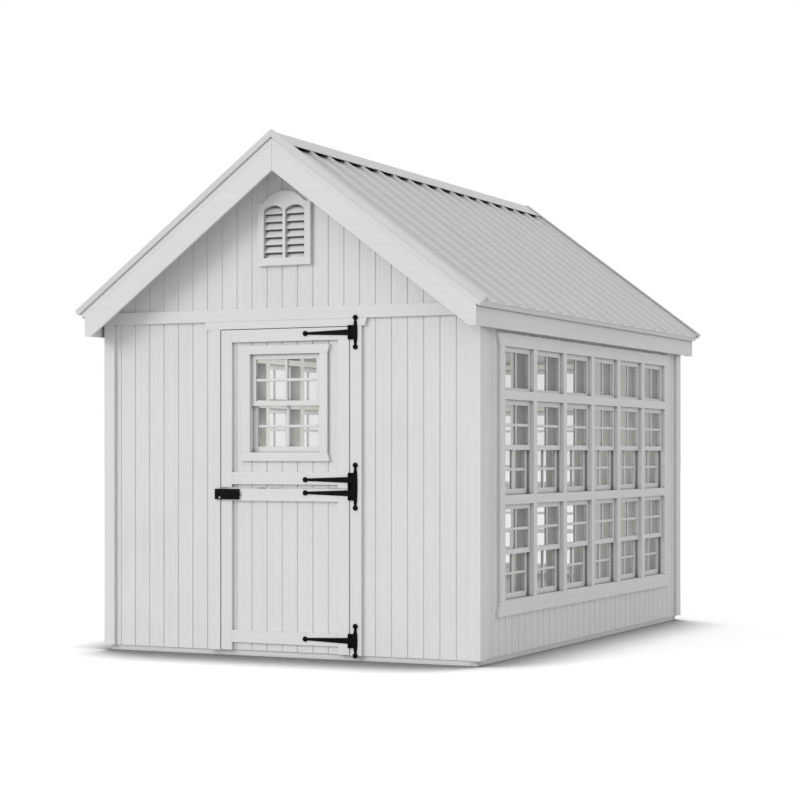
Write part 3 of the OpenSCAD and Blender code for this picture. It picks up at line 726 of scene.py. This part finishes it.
def vent_louvres(name):
    blade = new_block(name, (VENT_BAR_W / 2, -LOUVRE_W / 2, -LOUVRE_T / 2),
                      (VENT_BAR_W / 2 + VENT_OPEN_W, LOUVRE_W / 2, LOUVRE_T / 2))
    ease_edges(blade, BLADE_EASE)
    blade.rotation_euler.x = radians(LOUVRE_TILT)
    half_deep = LOUVRE_W * cos(radians(LOUVRE_TILT)) / 2
    blade.location = (0, -END_Y - VENT_FRAME_T + LOUVRE_INSET + half_deep,
                      VENT_FOOT_Z + LOUVRE_PITCH * LOUVRE_PHASE)
    apply_place(blade)
    repeat(blade, LOUVRE_COUNT, (0, 0, LOUVRE_PITCH))
    trim_to_opening(blade)
    pair = join_into(blade, [mirrored_copy(blade, "x")], name)
    louvres = join_into(pair, [mirrored_copy(pair, "y")], name)
    turn_normals_out(louvres)
    smooth_by_angle(louvres, 35)
    paint_by_board(louvres, PAINT)
    hand_over(louvres, "house", "painted_timber", "gable_vent_louvres")


vent_louvres("gable_vent_blades")


def vent_screens(name):
    """Insect mesh against the inner face of the siding, behind the blades; its dark colour
    paints the shade in the gaps between them.
    """
    half = VENT_BAR_W / 2 + VENT_OPEN_W + SCREEN_LAP
    inner_y = -END_Y + SIDING_T
    sheet = new_block(name, (-half, inner_y + FIT_GAP, VENT_FOOT_Z - SCREEN_LAP),
                      (half, inner_y + FIT_GAP + SCREEN_T, VENT_ARCH_Z + ARCH_R + SCREEN_LAP))
    screens = join_into(sheet, [mirrored_copy(sheet, "y")], name)
    # Painted shade: the dark mesh fills the gaps between the blades with shade
    screens.data.materials.append(PAINTED_SHADE_SCREEN)
    hand_over(screens, "house", "black_iron")


vent_screens("gable_vent_screens")

# Window bars: a crossed pair in each sliding sash, one upright in each fixed light above


def window_bar(name, low, high, face_v, out):
    """A bar against the pane with its outer edges chamfered; out is +1 towards the weather."""
    near, far = sorted((face_v, face_v - out * BAR_D))
    bar = new_block(name, (low[0], near, low[1]), (high[0], far, high[1]))
    select_faces(bar, lambda face: face.normal.y * -out > FACING)
    bpy.ops.mesh.inset(thickness=BAR_INSET, depth=0.0)
    bpy.ops.object.mode_set(mode="OBJECT")
    shape = bmesh.new()
    shape.from_mesh(bar.data)
    rim = near if out > 0 else far
    margin = BAR_INSET / 2
    for v in shape.verts:
        inside = (low[0] + margin < v.co.x < high[0] - margin
                  and low[1] + margin < v.co.z < high[1] - margin)
        if abs(v.co.y - rim) < SAME_PLACE and not inside:
            v.co.y += out * BAR_CHAMFER
    shape.to_mesh(bar.data)
    shape.free()
    return bar


def crossed_bars(name, left, right, foot, head, sash_v, level=True):
    """Bars on both faces of one pane, for a sash whose outer face is at sash_v.

    The level bar stands a little behind the upright one, so that their faces don't meet.
    """
    made = []
    middle = (left + right) / 2
    half_w = BAR_W / 2
    pane_out = sash_v + (SASH_T - GLASS_T) / 2
    pane_in = pane_out + GLASS_T
    z_mid = (foot + head) / 2
    for face_v, out in ((pane_out, 1), (pane_in, -1)):
        made.append(window_bar(name, (middle - half_w, foot), (middle + half_w, head),
                               face_v, out))
        if level:
            made.append(window_bar(name, (left, z_mid - half_w), (right, z_mid + half_w),
                                   face_v + out * BAR_STEP, out))
    return join_into(made[0], made[1:], name)


def sliding_window_bars(name, left, width, foot, height):
    """Bars of both sashes of a sliding window in the front wall: x along it, y into it."""
    light_l = left + FIT_GAP + SASH_W
    light_r = left + width - FIT_GAP - SASH_W
    sash_h = (height + SASH_W) / 2 - FIT_GAP
    upper = foot + height / 2 - SASH_W / 2
    return [crossed_bars(name, light_l, light_r, upper + SASH_W, upper + sash_h - SASH_W,
                         OUTER_SASH_Y),
            crossed_bars(name, light_l, light_r, foot + FIT_GAP + SASH_FOOT_H,
                         foot + FIT_GAP + sash_h - SASH_W, OUTER_SASH_Y + SASH_STEP)]


def bank_bars(name, columns, wall_face):
    """A bank's bars as if in a front wall whose trim stands wall_face from the middle."""
    left = -(columns * BANK_PITCH - (BANK_PITCH - WINDOW_W)) / 2
    parts = []
    for row in range(2):
        parts += sliding_window_bars(name, left, WINDOW_W, SILL_Z + row * ROW_STEP, WINDOW_H)
    parts.append(crossed_bars(name, left + SASH_W, left + WINDOW_W - SASH_W,
                              TRANSOM_Z + FIT_GAP + TRANSOM_FOOT_H,
                              TRANSOM_Z + TRANSOM_H - FIT_GAP - SASH_W,
                              OUTER_SASH_Y, level=False))
    column = join_into(parts[0], parts[1:], name)
    repeat(column, columns, (BANK_PITCH, 0, 0))
    column.location.y = TRIM_END_Y - wall_face
    apply_place(column)
    return column


def turn_about_middle(piece, angle):
    piece.rotation_euler.z = radians(angle)
    apply_place(piece)


def finish_bars(piece, body):
    smooth_by_angle(piece, 25)
    paint_by_board(piece, PAINT)
    hand_over(piece, body, "painted_timber")


right_bars = bank_bars("right_window_bars", BANK_COLUMNS, TRIM_SIDE_X)
turn_about_middle(right_bars, 90)
left_bars = bank_bars("left_window_bars", BANK_COLUMNS, TRIM_SIDE_X)
turn_about_middle(left_bars, -90)
back_bars = bank_bars("back_window_bars", BACK_COLUMNS, TRIM_END_Y)
turn_about_middle(back_bars, 180)
door_parts = sliding_window_bars("upper_door_window_bars", DOOR_WINDOW_X, DOOR_WINDOW_W,
                                 DOOR_WINDOW_FOOT_Z, DOOR_WINDOW_H)
door_bars = join_into(door_parts[0], door_parts[1:], "upper_door_window_bars")
for bars, body in ((right_bars, "house"), (left_bars, "house"), (back_bars, "house"),
                   (door_bars, "upper_leaf")):
    finish_bars(bars, body)

# Ironwork: rounded edges, turned ends and round-headed screws


def domed_boss(name, x, z, half_sizes, back_in, segments, rings):
    """A flattened ball on the iron's outer face, cut off flat behind it."""
    deselect_all()
    bpy.ops.mesh.primitive_uv_sphere_add(segments=segments, ring_count=rings, radius=1,
                                         location=(x, IRON_FACE_Y, z))
    boss = bpy.context.object
    boss.name = name
    boss.scale = half_sizes
    apply_place(boss)
    bpy.ops.object.mode_set(mode="EDIT")
    bpy.ops.mesh.select_all(action="SELECT")
    bpy.ops.mesh.bisect(plane_co=(x, IRON_FACE_Y + back_in, z), plane_no=(0, 1, 0),
                        use_fill=True, clear_outer=True)
    bpy.ops.object.mode_set(mode="OBJECT")
    return boss


def round_screw(name, x, z, radius):
    """A domed head with a slot, its flat side against the iron."""
    head = domed_boss(name, x, z, (radius, radius * SCREW_FLATNESS, radius), SCREW_SINK, 16, 8)
    half_slot = radius * SLOT_HALF_W
    slot = new_block("slot_cutter", (x - radius * 2, IRON_FACE_Y - radius, z - half_slot),
                     (x + radius * 2, IRON_FACE_Y - radius * SLOT_FLOOR, z + half_slot))
    cut_away(head, slot)
    bpy.data.objects.remove(slot, do_unlink=True)
    return head


def turned_end(name, x, z, half_w, half_h):
    """A rounded boss against the iron: a ball end, or a spindle when it is long."""
    return domed_boss(name, x, z, (half_w, half_w * BOSS_FLATNESS, half_h), IRON_T / 2, 24, 16)


def finish_iron(name, pieces, body, finish=IRON):
    joined = join_into(pieces[0], pieces[1:], name)
    smooth_by_angle(joined, 35)
    joined.data.materials.append(finish)
    hand_over(joined, body, "black_iron")


def screws_at(name, places, body, radius):
    first_x, first_z = places[0]
    first = round_screw(name, first_x, first_z, radius)
    twins = [copy_to(first, (x - first_x, 0, z - first_z)) for x, z in places[1:]]
    finish_iron(name, [first, *twins], body)


for node, body in (("hinge_plates", "house"), ("upper_door_straps", "upper_leaf"),
                   ("lower_door_straps", "lower_leaf"), ("door_latch", "lower_leaf"),
                   ("latch_keeper", "house")):
    iron = dressed_copy(node, node + "_forged")
    ease_edges(iron, KEEPER_EASE if node == "latch_keeper" else IRON_EASE, 2, 40)
    smooth_by_angle(iron, 35)
    iron.data.materials.append(IRON)
    hand_over(iron, body, "black_iron", node)

strap_tip_x = HINGE_X - STRAP_L
for name, zs, body in (("lower_strap_finials", STRAP_ZS[:2], "lower_leaf"),
                       ("upper_strap_finials", STRAP_ZS[2:], "upper_leaf")):
    finish_iron(name, [turned_end(name, strap_tip_x, z, FINIAL_R, FINIAL_R) for z in zs], body)

spindle_x = HINGE_X + PLATE_OUT
spindles = []
for low_z, high_z in ((STRAP_ZS[0], STRAP_ZS[0]), (STRAP_ZS[1], STRAP_ZS[2]),
                      (STRAP_ZS[3], STRAP_ZS[3])):
    spindles += [turned_end("plate_finials", spindle_x, z, FINIAL_R, FINIAL_R)
                 for z in (low_z - FINIAL_OUT, high_z + FINIAL_OUT)]
    spindles.append(turned_end("plate_finials", spindle_x, (low_z + high_z) / 2, SPINDLE_W / 2,
                               (high_z - low_z) / 2 + FINIAL_OUT - FINIAL_R / 2))
finish_iron("plate_finials", spindles, "house")

pin = turned_end("latch_pin", LATCH_PIN_X, LATCH_PIN_Z, LATCH_PIN_R, LATCH_PIN_R)
pin.location.y = LATCH_FACE_Y - IRON_FACE_Y - LATCH_PIN_OUT
apply_place(pin)
finish_iron("latch_pin", [pin], "lower_leaf", SCREW_METAL)

screws_at("upper_strap_screws", [(HINGE_X - d, z) for z in STRAP_ZS[2:] for d in STRAP_SCREWS],
          "upper_leaf", STRAP_SCREW_R)
screws_at("lower_strap_screws", [(HINGE_X - d, z) for z in STRAP_ZS[:2] for d in STRAP_SCREWS],
          "lower_leaf", STRAP_SCREW_R)
screws_at("plate_screws", [(spindle_x, z) for z in (
    STRAP_ZS[0] - PLATE_SCREW_Z, STRAP_ZS[0] + PLATE_SCREW_Z, STRAP_ZS[1] - PLATE_SCREW_Z,
    STRAP_ZS[1] + SHARED_SCREW_Z, STRAP_ZS[2] + PLATE_SCREW_Z, STRAP_ZS[3] - PLATE_SCREW_Z,
    STRAP_ZS[3] + PLATE_SCREW_Z)], "house", PLATE_SCREW_R)

# Roof screws: heads on washers in rows across both slopes, beside the ribs


def roof_screws(name, side):
    """A slope's screws; side is 1 for the right-hand slope and -1 for the left."""
    deselect_all()
    bpy.ops.mesh.primitive_cylinder_add(vertices=12, radius=WASHER_R, depth=WASHER_T)
    washer = bpy.context.object
    select_faces(washer, lambda face: face.normal.z > FACING)
    bpy.ops.mesh.inset(thickness=HEAD_INSET, depth=0)
    bpy.ops.mesh.extrude_region_move(TRANSFORM_OT_translate={"value": (0, 0, HEAD_H)})
    bpy.ops.object.mode_set(mode="OBJECT")
    ease_edges(washer, WASHER_EASE, 1)
    washer.location = (SCREW_FIRST_S, SCREW_Y, SHEET_TOP + WASHER_T / 2)
    apply_place(washer)
    row_step = (EAVE_RUN - SCREW_FIRST_S - SCREW_LAST_IN) / (SCREW_ROWS - 1)
    repeat(washer, SCREW_ROWS, (row_step, 0, 0))
    repeat(washer, SCREW_COLUMNS, (0, RIB_PITCH, 0))
    washer.rotation_euler = (0, ROOF_SLOPE, 0)
    washer.location = (0, 0, APEX_Z)
    apply_place(washer)
    if side < 0:
        washer.rotation_euler = (0, 0, radians(180))
        apply_place(washer)
    washer.name = name
    smooth_by_angle(washer, 30)
    washer.data.materials.append(SCREW_METAL)
    hand_over(washer, "house", "roof_metal")


roof_screws("right_roof_screws", 1)
roof_screws("left_roof_screws", -1)

# Finishes of the solids that keep their shape

for node, finish in (("roof_panels", ROOF_METAL), ("ridge_cap", ROOF_METAL),
                     ("rake_edge_trims", ROOF_METAL), ("roof_deck", PAINT["y"]),
                     ("floor_deck", FLOOR_TIMBER), ("right_glass", GLASS),
                     ("left_glass", GLASS), ("back_glass", GLASS),
                     ("upper_door_glass", GLASS)):
    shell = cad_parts[node]
    shell.data.materials.clear()
    shell.data.materials.append(finish)

# Studio


def split_by_ray(tree, for_light, for_eye):
    """One surface for light that bounces, one for what is seen, also in gloss and glass."""
    ray = add_node(tree, "LightPath")
    seen = ray.outputs["Is Camera Ray"]
    for kind in ("Is Glossy Ray", "Is Transmission Ray"):
        either = add_node(tree, "Math", operation="MAXIMUM")
        tree.links.new(seen, either.inputs[0])
        tree.links.new(ray.outputs[kind], either.inputs[1])
        seen = either.outputs[0]
    pick = add_node(tree, "MixShader")
    tree.links.new(seen, pick.inputs[0])
    tree.links.new(for_light.outputs[0], pick.inputs[1])
    tree.links.new(for_eye.outputs[0], pick.inputs[2])
    return pick.outputs[0]


def floor_finish():
    """Mid grey as a bounce, white to the eye, with a soft shadow near the house."""
    finish, tree, out = bare_finish("pale_studio_floor")
    working = add_node(tree, "BsdfDiffuse", {"Color": FLOOR_BOUNCE})
    shown = add_node(tree, "BsdfDiffuse")
    near = add_node(tree, "AmbientOcclusion", {"Distance": FLOOR_SHADE_REACH}, samples=8)
    lean = add_node(tree, "CombineXYZ", FLOOR_SHADE_LEAN)
    tree.links.new(lean.outputs["Vector"], near.inputs["Normal"])
    shade = ramp(tree, near.outputs["AO"], greys(FLOOR_SHADE))
    tree.links.new(shade, shown.inputs["Color"])
    lift = add_node(tree, "Emission", {"Strength": FLOOR_LIFT})
    tree.links.new(shade, lift.inputs["Color"])
    both = add_node(tree, "AddShader")
    tree.links.new(shown.outputs[0], both.inputs[0])
    tree.links.new(lift.outputs[0], both.inputs[1])
    tree.links.new(split_by_ray(tree, working, both), out.inputs["Surface"])
    return finish


deselect_all()
bpy.ops.mesh.primitive_plane_add(size=FLOOR_SIZE, location=(0, 0, 0))
floor = bpy.context.object
floor.name = "studio_floor"
apply_place(floor)
floor.data.materials.append(floor_finish())


def studio_world(strength):
    """An even light from all round, and plain white to the eye."""
    world = bpy.data.worlds.new("studio_surround")
    world.use_nodes = True
    tree = world.node_tree
    tree.nodes.clear()
    out = add_node(tree, "OutputWorld")
    light = add_node(tree, "Background", {"Color": WHITE, "Strength": strength})
    white = add_node(tree, "Background", {"Color": WHITE, "Strength": 1.0})
    tree.links.new(split_by_ray(tree, light, white), out.inputs["Surface"])
    bpy.context.scene.world = world


studio_world(SURROUND_STRENGTH)


def new_lamp(name, kind, energy, place):
    lamp = bpy.data.lights.new(name, kind)
    lamp.energy = energy
    holder = bpy.data.objects.new(name, lamp)
    holder.location = place
    bpy.context.scene.collection.objects.link(holder)
    return holder


def sun_lamp(name, towards, energy, softness):
    holder = new_lamp(name, "SUN", energy, Vector(towards) * KEY_AWAY)
    holder.data.angle = radians(softness)
    holder.rotation_euler = Vector(towards).to_track_quat("Z", "Y").to_euler()


sun_lamp("front_key_lamp", KEY_TOWARDS, KEY_ENERGY, KEY_SOFTNESS)


def room_fill(energy):
    """Soft light in the room, as a photographer sets it so that the windows don't look dark."""
    holder = new_lamp("room_fill_lamp", "POINT", energy, (0, 0, FILL_Z))
    holder.data.shadow_soft_size = FILL_SIZE
    holder.visible_camera = False
    holder.visible_glossy = False
    holder.visible_transmission = False


room_fill(FILL_ENERGY)

# Camera

view = bpy.data.cameras.new("photograph_camera")
view.lens = LENS
view.sensor_width = SENSOR_W
view.shift_y = LENS_SHIFT_UP
view.clip_end = CAMERA_SEES_TO
camera = bpy.data.objects.new("photograph_camera", view)
bpy.context.scene.collection.objects.link(camera)
camera.location = CAMERA_AT
camera.rotation_euler = (radians(90), 0, radians(CAMERA_TURN))
bpy.context.scene.camera = camera
bpy.context.scene.view_settings.view_transform = "Standard"

deselect_all()
